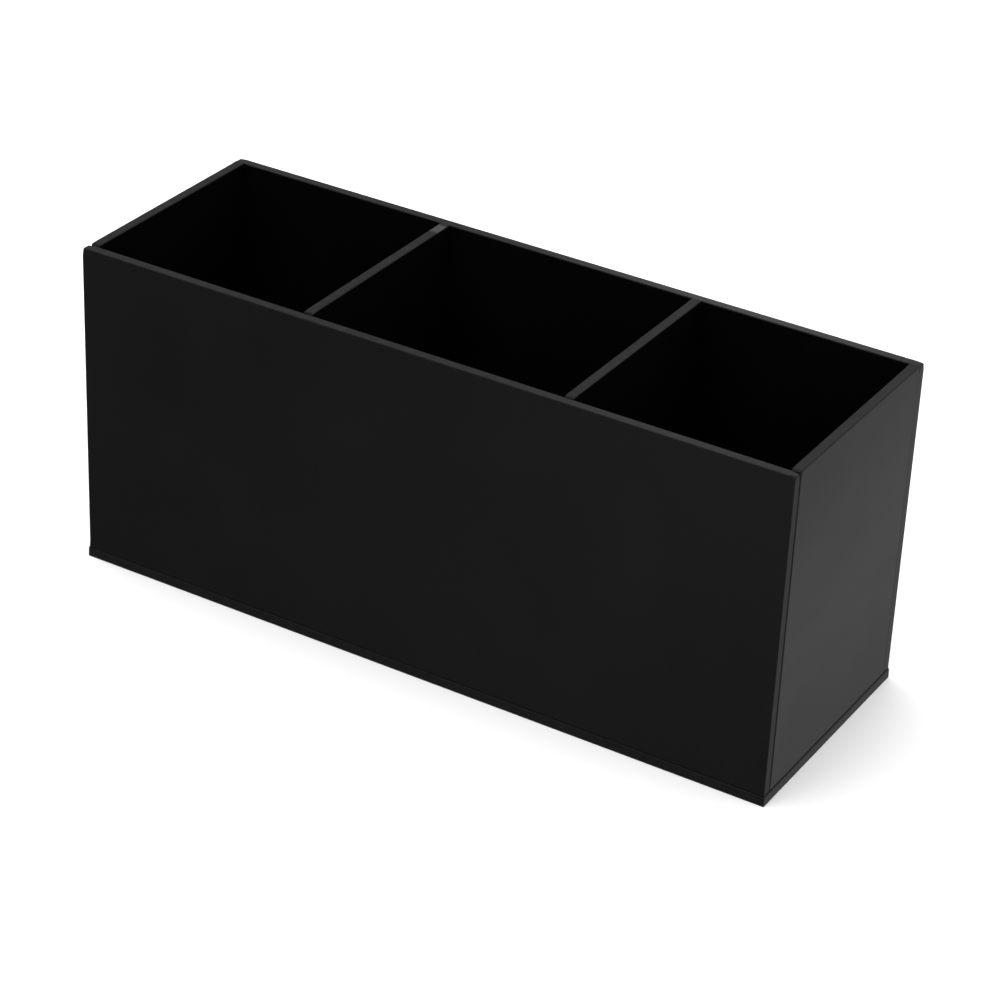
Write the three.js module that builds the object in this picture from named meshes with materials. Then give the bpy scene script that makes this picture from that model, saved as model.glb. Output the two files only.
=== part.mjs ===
// Open-topped organizer box of black acrylic sheet: a base plate, four walls and two dividers make
// three bays for paint bottles, brushes and tools. Seven flat sheets, butt-jointed with cement.
// Millimetres, +Z up, +X along the length, -Y towards the user. The origin is on the resting plane,
// under the middle of the box.
import * as THREE from "three";

// ---- driving dimensions ----
const length = 226.2; // over the ends of the front and back panels
const depth = 77.2; // over the outside faces of the front and back panels
const height = 101.5; // from the resting plane to the top of the front and back panels
const sheet = 3; // thickness of every sheet
const leftBay = 69.8; // clear length of the left bay
const rightBay = 63.9; // clear length of the right bay; the middle bay takes what is left

const baseLip = 0.3; // the base plate stands this far proud of the walls all round
const leftInset = 0.5; // the left end panel sits this far inside the ends of the front and back panels
const crossRise = 0.3; // the end panels and dividers stand this far above the front and back panels
const longArris = 0.3; // radius that the cut edges of the front and back panels are eased to
const crossArris = 0.5; // the same for the end panels and dividers
const baseArris = 0.3; // the same for the base plate
const arrisSteps = 3; // flats that make up each eased edge
const footBond = 0.1; // clearance that the cement fills between the base plate and what stands on it
const frontBond = 0.3; // the same between the front panel and the ends of the cross panels
const backBond = 0.05; // the same between the back panel and the ends of the cross panels

// ---- derived dimensions ----
const wallFoot = sheet + footBond; // height at which the walls and dividers start
const wallHeight = height - wallFoot; // front and back panels
const crossHeight = wallHeight + crossRise; // end panels and dividers
const wallInner = depth / 2 - sheet; // inside face of the front and back panels, from the middle
const crossWidth = 2 * wallInner - frontBond - backBond; // end panels and dividers, between front and back
const crossMiddle = (frontBond - backBond) / 2; // middle of that width
const leftInner = -length / 2 + leftInset + sheet; // inside face of the left end panel
const rightInner = length / 2 - sheet; // inside face of the right end panel, which is flush outside

// ---- finish ----
const black = { color: 0x1a1a1b, roughness: 0.12, metalness: 0 };

// A sheet cut to width by high with edges eased to arris, lying in XY about its own middle.
function cutSheet(width, high, arris) {
  const outline = new THREE.Shape()
    .moveTo(-width / 2, -high / 2)
    .lineTo(width / 2, -high / 2)
    .lineTo(width / 2, high / 2)
    .lineTo(-width / 2, high / 2)
    .closePath();
  const straight = sheet - 2 * arris;
  const geometry = new THREE.ExtrudeGeometry(outline, {
    depth: straight,
    bevelEnabled: true,
    bevelThickness: arris,
    bevelSize: arris,
    bevelOffset: -arris,
    bevelSegments: arrisSteps,
  });
  return geometry.translate(0, 0, -straight / 2);
}

const organizer = new THREE.Group();

function addSheet(name, geometry, x, y, z) {
  const mesh = new THREE.Mesh(geometry, new THREE.MeshStandardMaterial(black));
  mesh.name = name;
  mesh.position.set(x, y, z);
  organizer.add(mesh);
}

// The base plate lies under all the walls.
function addBase() {
  const plate = cutSheet(length + 2 * baseLip, depth + 2 * baseLip, baseArris);
  addSheet("base_plate", plate, 0, 0, sheet / 2);
}

// A front or back panel runs the whole length and covers the edges of the end panels.
function addLongPanel(name, side) {
  const panel = cutSheet(length, wallHeight, longArris).rotateX(Math.PI / 2);
  addSheet(name, panel, 0, side * (wallInner + sheet / 2), wallFoot + wallHeight / 2);
}

// An end panel or divider stands between the front and back panels.
function addCrossPanel(name, x) {
  const panel = cutSheet(crossWidth, crossHeight, crossArris)
    .rotateX(Math.PI / 2)
    .rotateZ(Math.PI / 2);
  addSheet(name, panel, x, crossMiddle, wallFoot + crossHeight / 2);
}

// ---- assembly ----
addBase();
addLongPanel("front_panel", -1);
addLongPanel("back_panel", 1);
addCrossPanel("left_end_panel", leftInner - sheet / 2);
addCrossPanel("left_divider", leftInner + leftBay + sheet / 2);
addCrossPanel("right_divider", rightInner - rightBay - sheet / 2);
addCrossPanel("right_end_panel", rightInner + sheet / 2);

export default organizer;
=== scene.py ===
"""Three-bay organizer box of gloss black acrylic sheet, on a plain pale floor in soft studio light."""

import math

import bpy
import numpy as np
from mathutils import Euler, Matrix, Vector


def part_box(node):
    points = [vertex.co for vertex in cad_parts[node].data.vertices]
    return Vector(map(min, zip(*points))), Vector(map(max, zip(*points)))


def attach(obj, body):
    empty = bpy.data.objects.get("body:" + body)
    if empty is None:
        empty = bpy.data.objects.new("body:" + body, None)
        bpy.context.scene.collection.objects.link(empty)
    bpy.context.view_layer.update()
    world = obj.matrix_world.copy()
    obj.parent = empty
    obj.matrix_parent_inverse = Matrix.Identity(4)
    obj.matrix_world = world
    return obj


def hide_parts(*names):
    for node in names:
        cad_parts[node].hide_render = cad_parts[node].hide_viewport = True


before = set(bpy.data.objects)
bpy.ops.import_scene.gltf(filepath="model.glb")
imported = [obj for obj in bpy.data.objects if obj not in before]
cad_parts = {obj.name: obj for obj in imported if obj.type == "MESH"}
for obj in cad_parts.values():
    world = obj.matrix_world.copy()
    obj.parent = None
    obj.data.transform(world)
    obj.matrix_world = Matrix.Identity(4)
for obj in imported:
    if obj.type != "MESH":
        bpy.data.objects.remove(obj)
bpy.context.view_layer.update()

# ---- sheet making ----
ARRIS_STEPS = 5  # segments from each flat to the middle of an eased edge
HALF_EDGE = math.radians(44.999)  # that stretch as an angle, a hair under half of a square edge's turn
ARRIS_WANDER = 0.12  # share by which hand finishing varies the radius of an eased edge
WANDER_SCALE = 45.0  # scale of the noise that it varies with
SEED_STEP = 1.7  # how far apart the sheets draw from that noise
PANE = 0.002  # about the side of a segment on the flat of a sheet
NEAR_END = 0.002  # a snug end or a knocked corner reaches this far in
SNUG_ARRIS = 0.15  # share of the radius that is left where a sheet is cemented down unscraped
FACE_SHARE = 0.8  # a facet is a gloss face if its normal has at least this share along the thin axis
TOP_SHARE = 0.5  # an edge facet is top or bottom edge if its normal has at least this share upright

X_AXIS = (1.0, 0.0, 0.0)
Y_AXIS = (0.0, 1.0, 0.0)
Z_AXIS = (0.0, 0.0, 1.0)
NO_AXIS = (0.0, 0.0, 0.0)


def worked(thin_axis, arris, snug_high=NO_AXIS, corner_wear=0.0):
    """How a kind of sheet is worked, by the names of the sheet tree's inputs.

    thin_axis is the axis along which its gloss faces look, arris is the radius of its eased edges,
    snug_high is the axis whose high end is snug, and corner_wear is what handling has added to the
    radius at the two top corners. The lower edges of every sheet are snug.
    """
    return {
        "Thin Axis": thin_axis,
        "Arris": arris,
        "Snug Low": Z_AXIS,
        "Snug High": snug_high,
        "Corner Wear": corner_wear,
    }


WORK = {
    "front": worked(Y_AXIS, 0.0003, corner_wear=0.0005),
    "back": worked(Y_AXIS, 0.0003, snug_high=X_AXIS, corner_wear=0.0005),
    "cross": worked(X_AXIS, 0.0005, snug_high=Y_AXIS, corner_wear=0.0002),
    "base": worked(Z_AXIS, 0.0003),
}
SHEETS = {
    "base_plate": "base",
    "front_panel": "front",
    "back_panel": "back",
    "left_end_panel": "cross",
    "left_divider": "cross",
    "right_divider": "cross",
    "right_end_panel": "cross",
}


class Tree:
    """Short calls for building a node tree."""

    def __init__(self, nodes, links):
        self.nodes = nodes
        self.links = links

    def plug(self, value, socket):
        """Links an output to a socket, or sets the socket to a plain value."""
        if isinstance(value, bpy.types.NodeSocket):
            self.links.new(value, socket)
        elif value is not None:
            socket.default_value = value

    def node(self, kind, inputs=None, **settings):
        made = self.nodes.new(kind)
        for name, value in settings.items():
            setattr(made, name, value)
        for name, value in (inputs or {}).items():
            self.plug(value, made.inputs[name])
        return made

    def maths(self, operation, a, b=None, clamp=False):
        made = self.node("ShaderNodeMath", {0: a, 1: b}, operation=operation)
        made.use_clamp = clamp
        return made.outputs[0]

    def vector(self, operation, a, b=None, scale=None):
        made = self.node("ShaderNodeVectorMath", {0: a, 1: b}, operation=operation)
        self.plug(scale, made.inputs[3])
        return made.outputs["Value" if operation == "DOT_PRODUCT" else "Vector"]

    def smooth(self, value, start, full):
        """Eases from 0 at start to 1 at full, which may be the lower of the two."""
        made = self.node(
            "ShaderNodeMapRange",
            {"Value": value, "From Min": start, "From Max": full},
            interpolation_type="SMOOTHSTEP",
        )
        return made.outputs["Result"]

    def zone(self, *eased):
        """Product of smooth steps, each given as its value, where it starts and where it is full."""
        share = 1.0
        for value, start, full in eased:
            share = self.maths("MULTIPLY", share, self.smooth(value, start, full))
        return share

    def lifted(self, base, *parts):
        """A base value, and what each part adds to it where that part is 1."""
        for part, added in parts:
            base = self.maths("ADD", self.maths("MULTIPLY", part, added), base)
        return base

    def blend(self, share, a, b):
        """The colour a where share is 0, and b where it is 1."""
        made = self.node("ShaderNodeMix", {0: share, 6: a, 7: b}, data_type="RGBA")
        return made.outputs[2]

    def between(self, share, a, b):
        """The number a where share is 0, and b where it is 1."""
        made = self.node("ShaderNodeMix", {0: share, 2: a, 3: b}, data_type="FLOAT")
        return made.outputs[0]

    def noise(self, place, scale, detail=2.0, stretch=None, roughness=0.5):
        """Noise that swings round 0.5, with its pattern squeezed by stretch along each axis."""
        if stretch:
            place = self.vector("MULTIPLY", place, stretch)
        made = self.node(
            "ShaderNodeTexNoise",
            {"Vector": place, "Scale": scale, "Detail": detail, "Roughness": roughness},
        )
        return made.outputs[0]

    def bump(self, height, strength, distance):
        """A normal that follows height, raised to distance in metres where height is 1."""
        made = self.node(
            "ShaderNodeBump", {"Strength": strength, "Distance": distance, "Height": height}
        )
        return made.outputs["Normal"]


# ---- eased sheet by geometry nodes ----
def make_sheet_tree():
    """A cuboid grid whose outer rings are wrapped round a radius, so that every edge is eased."""
    group = bpy.data.node_groups.new("eased_sheet", "GeometryNodeTree")
    group.is_modifier = True
    sockets = {}
    for name, kind in (
        ("Centre", "NodeSocketVector"),
        ("Half Size", "NodeSocketVector"),
        ("Thin Axis", "NodeSocketVector"),
        ("Count X", "NodeSocketInt"),
        ("Count Y", "NodeSocketInt"),
        ("Count Z", "NodeSocketInt"),
        ("Arris Steps", "NodeSocketInt"),
        ("Arris", "NodeSocketFloat"),
        ("Arris Wander", "NodeSocketFloat"),
        ("Snug Low", "NodeSocketVector"),
        ("Snug High", "NodeSocketVector"),
        ("Corner Wear", "NodeSocketFloat"),
        ("Seed", "NodeSocketFloat"),
        ("Gloss Face", "NodeSocketMaterial"),
        ("Top Edge", "NodeSocketMaterial"),
        ("Side Edge", "NodeSocketMaterial"),
    ):
        made = group.interface.new_socket(name=name, in_out="INPUT", socket_type=kind)
        sockets[name] = made.identifier
    group.interface.new_socket(
        name="Sheet", in_out="OUTPUT", socket_type="NodeSocketGeometry"
    )
    t = Tree(group.nodes, group.links)
    given = t.node("NodeGroupInput").outputs

    cuboid = t.node(
        "GeometryNodeMeshCube",
        {
            "Size": (2, 2, 2),
            "Vertices X": given["Count X"],
            "Vertices Y": given["Count Y"],
            "Vertices Z": given["Count Z"],
        },
    )

    # Where the flat ends and the eased ring starts, on each axis, from 0 at the middle to 1.
    counts = t.node(
        "ShaderNodeCombineXYZ",
        {0: given["Count X"], 1: given["Count Y"], 2: given["Count Z"]},
    ).outputs[0]
    ring = t.maths("MULTIPLY", given["Arris Steps"], 2.0)
    rings = t.node("ShaderNodeCombineXYZ", {0: ring, 1: ring, 2: ring}).outputs[0]
    gaps = t.vector("SUBTRACT", counts, (1, 1, 1))
    flat_end = t.vector("SUBTRACT", (1, 1, 1), t.vector("DIVIDE", rings, gaps))

    place = t.node("GeometryNodeInputPosition").outputs[0]
    side = t.vector("SIGN", place)
    reach = t.vector("ABSOLUTE", place)
    along_flat = t.vector("MINIMUM", t.vector("DIVIDE", reach, flat_end), (1, 1, 1))
    into_ring = t.vector(
        "DIVIDE",
        t.vector("SUBTRACT", reach, flat_end),
        t.vector("SUBTRACT", (1, 1, 1), flat_end),
    )
    into_ring = t.vector("MAXIMUM", into_ring, (0, 0, 0))
    turn = t.vector("TANGENT", t.vector("SCALE", into_ring, scale=HALF_EDGE))
    facing = t.vector("NORMALIZE", t.vector("MULTIPLY", side, turn))

    # The radius wanders a little along each edge, as a scraper held in the hand leaves it.
    rough_place = t.vector("MULTIPLY", place, given["Half Size"])
    wander = t.node(
        "ShaderNodeTexNoise",
        {"Vector": rough_place, "W": given["Seed"], "Scale": WANDER_SCALE, "Detail": 2.0},
        noise_dimensions="4D",
    ).outputs[0]
    wander = t.maths("SUBTRACT", t.maths("MULTIPLY", wander, 2.0), 1.0)
    wander = t.maths("MULTIPLY", wander, given["Arris Wander"])
    radius = t.maths("MULTIPLY", given["Arris"], t.maths("ADD", wander, 1.0))

    # It is small at a snug end, and larger at the two top corners, which get knocked.
    from_end = t.vector("SUBTRACT", (1, 1, 1), along_flat)
    from_end = t.vector("MULTIPLY", from_end, given["Half Size"])
    from_end = t.vector("SCALE", from_end, scale=1 / NEAR_END)
    near = t.vector("SUBTRACT", (1, 1, 1), t.vector("MINIMUM", from_end, (1, 1, 1)))
    near_high = t.vector("MULTIPLY", near, t.vector("MAXIMUM", side, (0, 0, 0)))
    near_low = t.vector("SUBTRACT", near, near_high)
    snug = t.maths(
        "ADD",
        t.vector("DOT_PRODUCT", near_high, given["Snug High"]),
        t.vector("DOT_PRODUCT", near_low, given["Snug Low"]),
        clamp=True,
    )
    taken = t.maths("MULTIPLY", snug, 1.0 - SNUG_ARRIS)
    radius = t.maths("MULTIPLY", radius, t.maths("SUBTRACT", 1.0, taken))
    along = t.vector("SUBTRACT", (1, 1, 0), given["Thin Axis"])
    corner = t.maths(
        "MULTIPLY",
        t.vector("DOT_PRODUCT", near, along),
        t.vector("DOT_PRODUCT", near_high, (0, 0, 1)),
    )
    radius = t.maths("ADD", radius, t.maths("MULTIPLY", corner, given["Corner Wear"]))
    inset = t.node("ShaderNodeCombineXYZ", {0: radius, 1: radius, 2: radius}).outputs[0]
    flat_half = t.vector("SUBTRACT", given["Half Size"], inset)
    core = t.vector("MULTIPLY", t.vector("MULTIPLY", side, along_flat), flat_half)
    shape = t.vector("ADD", core, t.vector("SCALE", facing, scale=radius))
    shape = t.vector("ADD", shape, given["Centre"])

    kept = t.node(
        "GeometryNodeStoreNamedAttribute",
        {"Geometry": cuboid.outputs["Mesh"], "Name": "facing", "Value": facing},
        data_type="FLOAT_VECTOR",
    )
    eased = t.node(
        "GeometryNodeSetPosition",
        {"Geometry": kept.outputs["Geometry"], "Position": shape},
    )
    read = t.node(
        "GeometryNodeInputNamedAttribute", {"Name": "facing"}, data_type="FLOAT_VECTOR"
    ).outputs["Attribute"]
    read = t.vector("NORMALIZE", read)
    across = t.maths("ABSOLUTE", t.vector("DOT_PRODUCT", read, given["Thin Axis"]))
    upward = t.maths("ABSOLUTE", t.vector("DOT_PRODUCT", read, (0, 0, 1)))
    is_edge = t.maths("LESS_THAN", across, FACE_SHARE)
    is_side = t.maths("MULTIPLY", is_edge, t.maths("LESS_THAN", upward, TOP_SHARE))
    finished = eased.outputs["Geometry"]
    for chosen, finish in ((True, "Gloss Face"), (is_edge, "Top Edge"), (is_side, "Side Edge")):
        finished = t.node(
            "GeometryNodeSetMaterial",
            {"Geometry": finished, "Selection": chosen, "Material": given[finish]},
        ).outputs["Geometry"]
    real = t.node("GeometryNodeRealizeInstances", {"Geometry": finished})
    t.node("NodeGroupOutput", {"Sheet": real.outputs["Geometry"]})
    return group, sockets


def make_sheet(name, tree, sockets, work, finishes, seed):
    """Makes one sheet, as big as its CAD node: a plain mesh with exact normals on flats and edges."""
    low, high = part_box(name)
    size = high - low
    flats = [max(1, round((side - 2 * work["Arris"]) / PANE)) for side in size]
    counts = [flat + 2 * ARRIS_STEPS + 1 for flat in flats]
    maker = bpy.data.objects.new("maker", bpy.data.meshes.new("maker"))
    bpy.context.scene.collection.objects.link(maker)
    modifier = maker.modifiers.new("sheet", "NODES")
    modifier.node_group = tree
    values = {
        "Centre": tuple((low + high) / 2),
        "Half Size": tuple(size / 2),
        "Count X": counts[0],
        "Count Y": counts[1],
        "Count Z": counts[2],
        "Arris Steps": ARRIS_STEPS,
        "Arris Wander": ARRIS_WANDER,
        "Seed": seed,
        "Gloss Face": finishes[0],
        "Top Edge": finishes[1],
        "Side Edge": finishes[2],
    }
    for socket, value in (values | work).items():
        modifier[sockets[socket]] = value
    depsgraph = bpy.context.evaluated_depsgraph_get()
    mesh = bpy.data.meshes.new_from_object(
        maker.evaluated_get(depsgraph), depsgraph=depsgraph
    )
    bpy.data.objects.remove(maker)
    mesh.name = name + "_sheet"
    normals = np.zeros(len(mesh.vertices) * 3, np.float32)
    mesh.attributes["facing"].data.foreach_get("vector", normals)
    mesh.attributes.remove(mesh.attributes["facing"])
    mesh.shade_smooth()
    mesh.normals_split_custom_set_from_vertices(normals.reshape(-1, 3))
    sheet = bpy.data.objects.new(name + "_sheet", mesh)
    bpy.context.scene.collection.objects.link(sheet)
    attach(sheet, "root")
    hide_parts(name)


# ---- finishes ----
ACRYLIC_IOR = 1.49
CLEAN_BLACK = (0.0019, 0.0019, 0.0020, 1.0)
HAZY_BLACK = (0.0027, 0.0027, 0.0029, 1.0)
DUST_GREY = (0.16, 0.16, 0.165, 1.0)
WORN_GREY = (0.02, 0.02, 0.021, 1.0)
# paler grey of a patch on one edge, of no known cause
PALE_PATCH_GREY = (0.041, 0.041, 0.042, 1.0)


def start_material(name):
    material = bpy.data.materials.new(name)
    material.use_nodes = True
    t = Tree(material.node_tree.nodes, material.node_tree.links)
    shader = t.nodes["Principled BSDF"]
    place = t.node("ShaderNodeTexCoord").outputs["Object"]
    return material, t, shader, place


def start_acrylic(name):
    material, t, shader, place = start_material(name)
    shader.inputs["IOR"].default_value = ACRYLIC_IOR
    return material, t, shader, place


def dust(t, place, cells, size, kept):
    """1 on sparse specks: cells to the metre, speck size as a share of a cell, share that are kept."""
    cell = t.node("ShaderNodeTexVoronoi", {"Vector": place, "Scale": cells})
    colour = t.node("ShaderNodeSeparateColor", {"Color": cell.outputs["Color"]})
    radius = t.maths("MULTIPLY", colour.outputs[1], size)
    inside = t.maths("LESS_THAN", cell.outputs["Distance"], radius)
    chosen = t.maths("LESS_THAN", colour.outputs[0], kept)
    return t.maths("MULTIPLY", inside, chosen)


def make_gloss_face():
    """Cast acrylic as it comes off the sheet: deep black, glossy, with wiping haze and a little dust."""
    material, t, shader, place = start_acrylic("gloss_black_acrylic")
    haze = t.smooth(t.noise(place, scale=26.0, detail=4.0), 0.42, 0.75)
    upright_wipes = t.noise(place, scale=30.0, detail=3.0, stretch=(1.0, 1.0, 9.0))
    wiped = t.smooth(upright_wipes, 0.45, 0.8)
    specks = dust(t, place, cells=95.0, size=0.028, kept=0.22)
    black = t.blend(haze, CLEAN_BLACK, HAZY_BLACK)
    colour = t.blend(t.maths("MULTIPLY", specks, 0.6), black, DUST_GREY)
    roughness = t.lifted(0.075, (haze, 0.05), (wiped, 0.035), (specks, 0.5))
    waves = t.noise(place, scale=22.0, detail=1.0)
    peel = t.noise(place, scale=900.0, detail=1.0)
    normal = t.bump(t.lifted(waves, (peel, 0.004)), strength=0.35, distance=0.00012)
    t.plug(colour, shader.inputs["Base Color"])
    t.plug(roughness, shader.inputs["Roughness"])
    t.plug(normal, shader.inputs["Normal"])
    return material


def make_cut_edge(name, fineness, roughness, mean, mottle, pale_depths=None):
    """A cut and eased edge, with marks whose fineness is given for each axis.

    mean is how light its black is, and mottle is how far that varies, half with the marks and half in
    patches a few millimetres long. The last argument gives the two depths along the box between which
    the edge's colour is a paler grey.
    """
    material, t, shader, place = start_acrylic(name)
    marks = t.noise(place, scale=1.0, detail=3.0, stretch=fineness, roughness=0.6)
    patches = t.smooth(t.noise(place, scale=420.0, detail=3.0), 0.35, 0.65)
    uneven = t.lifted(0.0, (patches, 0.5), (t.smooth(marks, 0.35, 0.65), 0.5))
    worn = t.smooth(t.noise(place, scale=900.0), 0.62, 0.8)
    deep, dulled = mean - mottle, mean + mottle
    black = t.blend(uneven, (deep, deep, deep, 1.0), (dulled, dulled, dulled * 1.02, 1.0))
    colour = t.blend(t.maths("MULTIPLY", worn, 0.25), black, WORN_GREY)
    # A paler grey patch of colour on the edge, between the two given depths, with ragged ends.
    if pale_depths:
        front, back = pale_depths
        along = t.node("ShaderNodeSeparateXYZ", {0: place}).outputs[1]
        ragged = t.lifted(along, (t.noise(place, scale=700.0), 0.0008))
        paled_share = t.zone((ragged, front, front + 0.0014), (ragged, back, back - 0.0006))
        colour = t.blend(t.maths("MULTIPLY", paled_share, 0.9), colour, PALE_PATCH_GREY)
    varied = t.lifted(roughness - 0.06, (marks, 0.10), (uneven, 0.04))
    t.plug(colour, shader.inputs["Base Color"])
    t.plug(varied, shader.inputs["Roughness"])
    t.plug(t.bump(marks, strength=0.25, distance=0.00003), shader.inputs["Normal"])
    return material


# ---- the seven sheets ----
# How fine the marks of the saw and scraper are along each axis. They are coarsest through the
# thickness of the sheet, because they run from face to face.
LONG_MARKS = (1500.0, 180.0, 1500.0)  # front and back panels
CROSS_MARKS = (180.0, 1500.0, 1500.0)  # end panels and dividers
BASE_MARKS = (1500.0, 1500.0, 180.0)
PALE_PATCH_DEPTHS = (0.0285, 0.0345)  # depths of a paler grey patch on the top edge, near the back end of the left divider

gloss_face = make_gloss_face()
buffed_edge = make_cut_edge("buffed_long_edge", LONG_MARKS, 0.14, mean=0.0050, mottle=0.0018)
sawn_end = make_cut_edge("sawn_long_end", LONG_MARKS, 0.36, mean=0.0055, mottle=0.0030)
sawn_edge = make_cut_edge("sawn_cross_edge", CROSS_MARKS, 0.42, mean=0.0050, mottle=0.0045)
# The left divider's top edge, with a paler grey patch near its back end.
pale_patched_edge = make_cut_edge(
    "pale_patched_cross_edge", CROSS_MARKS, 0.42, mean=0.0050, mottle=0.0045, pale_depths=PALE_PATCH_DEPTHS
)
base_edge = make_cut_edge("sawn_base_edge", BASE_MARKS, 0.22, mean=0.0030, mottle=0.0012)

# The finish of each kind of sheet: its gloss faces, its top edge and its upright edges.
FINISHES = {
    "front": (gloss_face, buffed_edge, sawn_end),
    "back": (gloss_face, buffed_edge, buffed_edge),
    "cross": (gloss_face, sawn_edge, sawn_edge),
    "base": (gloss_face, base_edge, base_edge),
}
sheet_tree, sheet_sockets = make_sheet_tree()
for order, (node_name, kind) in enumerate(SHEETS.items()):
    finishes = FINISHES[kind]
    if node_name == "left_divider":
        finishes = (gloss_face, pale_patched_edge, sawn_edge)
    make_sheet(node_name, sheet_tree, sheet_sockets, WORK[kind], finishes, SEED_STEP * order)


# ---- floor ----
FLOOR_HALF = 6.0
FLOOR_LEVEL = -0.0001  # clear of the underside, which rests at zero


def make_floor():
    mesh = bpy.data.meshes.new("studio_floor")
    corners = [(-1, -1), (1, -1), (1, 1), (-1, 1)]
    mesh.from_pydata(
        [(x * FLOOR_HALF, y * FLOOR_HALF, FLOOR_LEVEL) for x, y in corners], [], [(0, 1, 2, 3)]
    )
    floor = bpy.data.objects.new("studio_floor", mesh)
    bpy.context.scene.collection.objects.link(floor)
    material, t, shader, place = start_material("pale_paper")
    fibre = t.noise(place, scale=300.0, detail=3.0)
    colour = t.blend(fibre, (0.92, 0.92, 0.92, 1.0), (0.94, 0.94, 0.94, 1.0))
    t.plug(colour, shader.inputs["Base Color"])
    shader.inputs["Roughness"].default_value = 0.9
    shader.inputs["Specular IOR Level"].default_value = 0.0
    mesh.materials.append(material)
    floor.visible_glossy = False


make_floor()


# ---- light ----
def make_studio():
    """The room that the gloss sees: shaded walls with three windows in them, over a shaded floor."""
    world = bpy.data.worlds.new("soft_studio")
    world.use_nodes = True
    bpy.context.scene.world = world
    t = Tree(world.node_tree.nodes, world.node_tree.links)
    t.nodes.clear()
    heading = t.node("ShaderNodeTexCoord").outputs["Generated"]
    right, back, up = t.node("ShaderNodeSeparateXYZ", {0: heading}).outputs

    tall_window = t.zone(
        (right, -0.30, -0.20),
        (right, 0.40, 0.20),
        (back, 0.25, 0.50),
        (up, 0.26, 0.36),
        (up, 0.72, 0.60),
    )
    low_window = t.zone(
        (right, -0.46, -0.38),
        (right, -0.33, -0.36),
        (back, 0.25, 0.50),
        (up, 0.26, 0.36),
        (up, 0.485, 0.450),
    )
    front_window = t.zone(
        (right, -0.30, -0.10), (right, 0.70, 0.50), (back, -0.35, -0.60), (up, 0.20, 0.35)
    )
    walls = t.lifted(0.27, (tall_window, 0.44), (low_window, 0.50), (front_window, 0.30))

    lit_by_front = t.zone((right, -0.56, -0.34), (up, -0.62, -0.46))
    lit_by_left = t.smooth(right, -0.53, -0.56)
    near_floor = t.lifted(0.115, (lit_by_front, 0.11), (lit_by_left, 0.04))

    # The far floor is darkest below a slanting line, and brightest in a band just above it.
    slant = t.lifted(up, (right, 1.75))
    above_line = t.smooth(slant, 0.008, 0.036)
    below_band_top = t.smooth(slant, 0.125, 0.098)
    far_floor = t.lifted(0.165, (above_line, 0.13), (below_band_top, 0.075))

    ground = t.between(t.smooth(back, -0.3, 0.5), near_floor, far_floor)
    room = t.between(t.smooth(up, -0.15, 0.25), ground, walls)

    # Gloss reflects the room, matt surfaces take a plain even light, and the camera sees white.
    path = t.node("ShaderNodeLightPath").outputs
    room_light, plain_light, white = (
        t.node("ShaderNodeBackground", {"Color": (1, 1, 1, 1), "Strength": strength}).outputs[0]
        for strength in (room, 1.15, 1.0)
    )
    lit = t.node("ShaderNodeMixShader", {0: path["Is Glossy Ray"], 1: plain_light, 2: room_light})
    seen = t.node("ShaderNodeMixShader", {0: path["Is Camera Ray"], 1: lit.outputs[0], 2: white})
    t.node("ShaderNodeOutputWorld", {"Surface": seen.outputs[0]})


def add_softbox(name, place, size, power):
    """A soft square lamp that looks at the origin, seen neither by the camera nor by gloss."""
    light = bpy.data.lights.new(name, "AREA")
    light.shape = "SQUARE"
    light.size = size
    light.energy = power
    lamp = bpy.data.objects.new(name, light)
    lamp.location = place
    lamp.rotation_euler = (-Vector(place)).to_track_quat("-Z", "Y").to_euler()
    lamp.visible_glossy = False
    lamp.visible_camera = False
    bpy.context.scene.collection.objects.link(lamp)


make_studio()
add_softbox("top_softbox", place=(-0.3, -0.2, 1.6), size=1.6, power=20.0)


# ---- camera ----
CAMERA_AZIMUTH = math.radians(30.002)  # to the right of straight in front
CAMERA_ELEVATION = math.radians(30.069)
CAMERA_ROLL = math.radians(2.719)
CAMERA_DISTANCE = 0.92563
CAMERA_AIM = Vector((0.00717, -0.00192, 0.04094))
CAMERA_LENS = 116.280  # on a 36 mm wide sensor


def add_camera():
    away = Vector(
        (
            math.sin(CAMERA_AZIMUTH) * math.cos(CAMERA_ELEVATION),
            -math.cos(CAMERA_AZIMUTH) * math.cos(CAMERA_ELEVATION),
            math.sin(CAMERA_ELEVATION),
        )
    )
    camera = bpy.data.cameras.new("camera")
    camera.lens = CAMERA_LENS
    camera.sensor_width = 36.0
    camera.clip_start = 0.02
    holder = bpy.data.objects.new("camera", camera)
    holder.location = CAMERA_AIM + away * CAMERA_DISTANCE
    turned = (-away).to_track_quat("-Z", "Y").to_matrix()
    holder.rotation_euler = (turned @ Euler((0, 0, CAMERA_ROLL)).to_matrix()).to_euler()
    bpy.context.scene.collection.objects.link(holder)
    bpy.context.scene.camera = holder


add_camera()
bpy.context.scene.view_settings.view_transform = "Standard"
